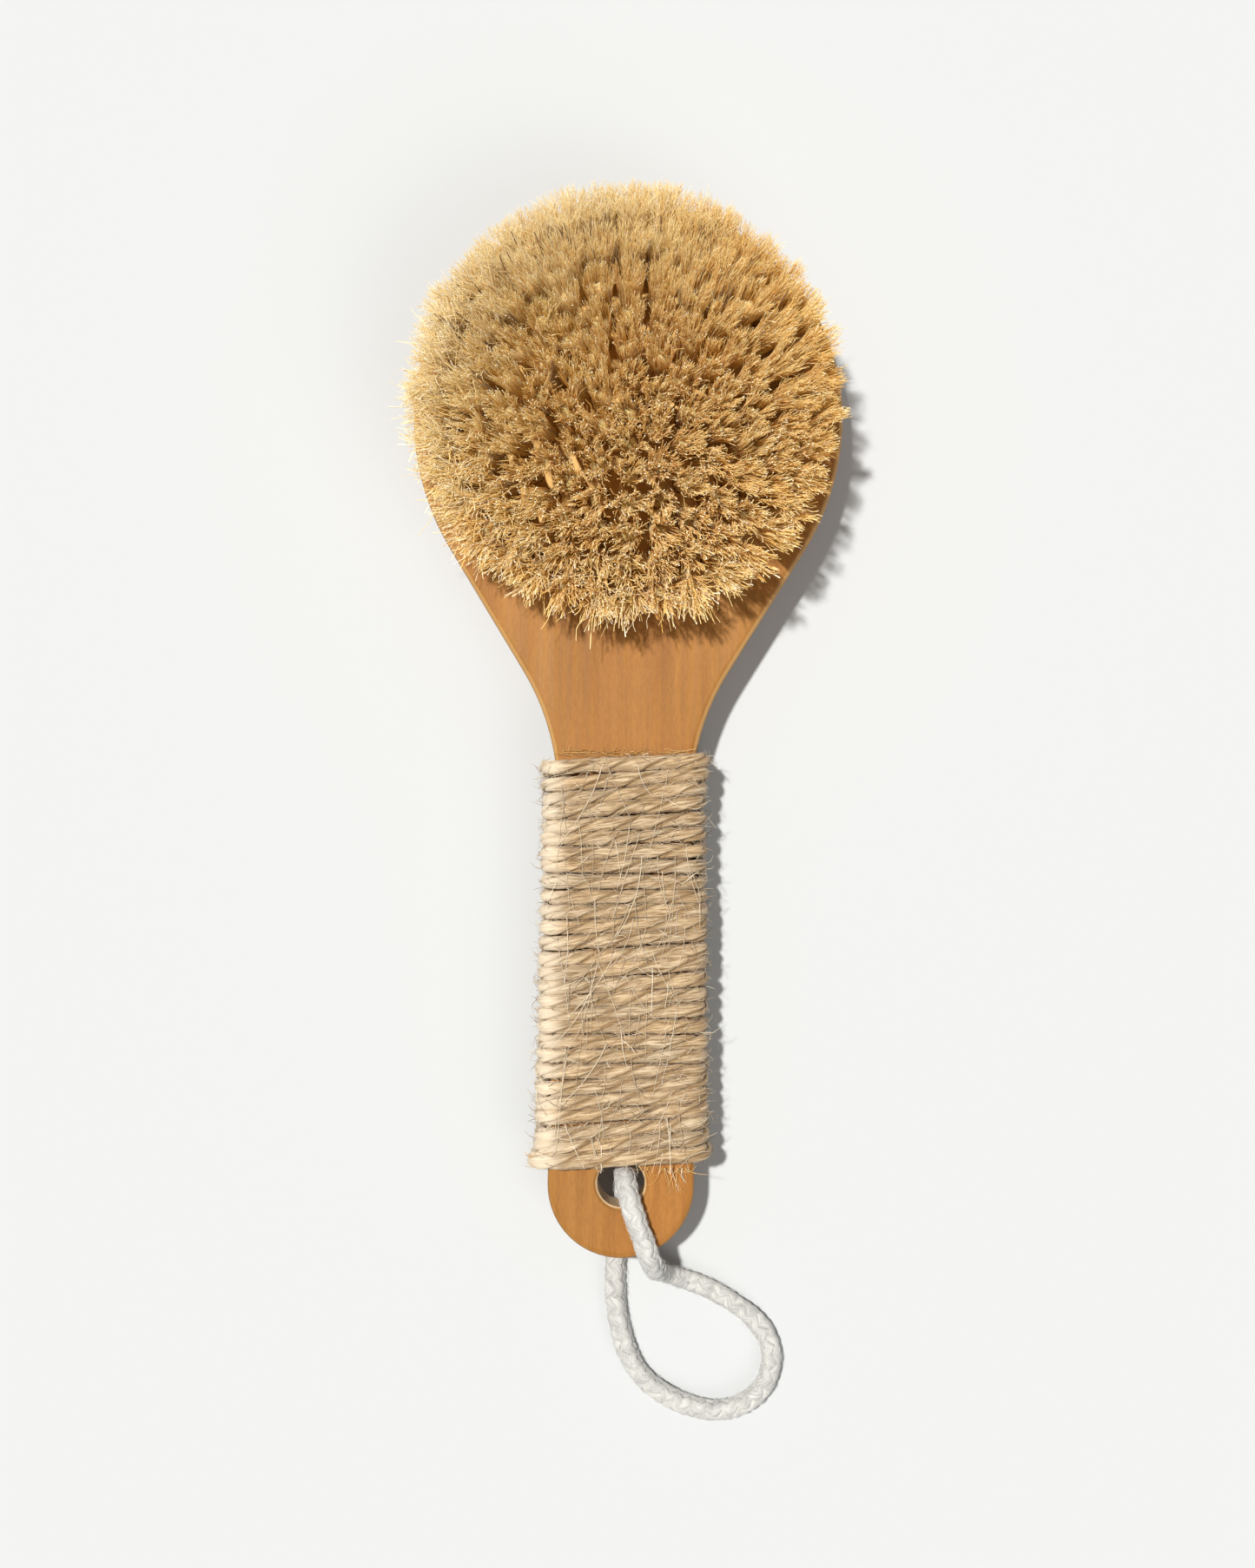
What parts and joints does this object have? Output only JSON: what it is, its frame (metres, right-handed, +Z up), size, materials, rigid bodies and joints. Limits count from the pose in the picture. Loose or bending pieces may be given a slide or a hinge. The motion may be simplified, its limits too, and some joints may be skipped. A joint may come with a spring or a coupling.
{
  "type": "body dry brush",
  "caption": "Round wooden body brush with ring-set natural bristle tufts, a short twine-wound grip and a soft cord loop through its end for hanging.",
  "frame": {"origin": "on the surface the brush lies on, under the middle of its wood and halfway along it; the hanging cord is left out", "axes": "+Y along the brush from the grip's end to the head, +Z up out of the resting surface along the bristles, +X to the right"},
  "size_m": [0.0942, 0.271, 0.0366],
  "materials": {
    "wood": "satin clear-waxed hardwood",
    "bristle": "pale natural bristle, slightly glossy",
    "staple_wire": "plain drawn flat wire",
    "jute_twine": "matt, hairy plied jute",
    "cotton_cord": "matt braided cotton"
  },
  "bodies": {
    "brush": {"wood_body": "wood", "tufts_centre": "bristle", "tufts_ring_1": "bristle", "tufts_ring_2": "bristle", "tufts_ring_3": "bristle", "tufts_ring_4": "bristle", "tufts_ring_5": "bristle", "tufts_ring_6": "bristle", "staples_centre": "staple_wire", "staples_ring_1": "staple_wire", "staples_ring_2": "staple_wire", "staples_ring_3": "staple_wire", "staples_ring_4": "staple_wire", "staples_ring_5": "staple_wire", "staples_ring_6": "staple_wire", "handle_twine": "jute_twine"},
    "loop": {"hang_cord": "cotton_cord"}
  },
  "joints": [
    {"name": "loop_swing", "type": "hinge", "parent": "brush", "child": "loop", "pos_m": [0.0009, -0.0976, 0.0107], "axis": [0, 0, 1], "range_deg": [-70, 45]}
  ]
}
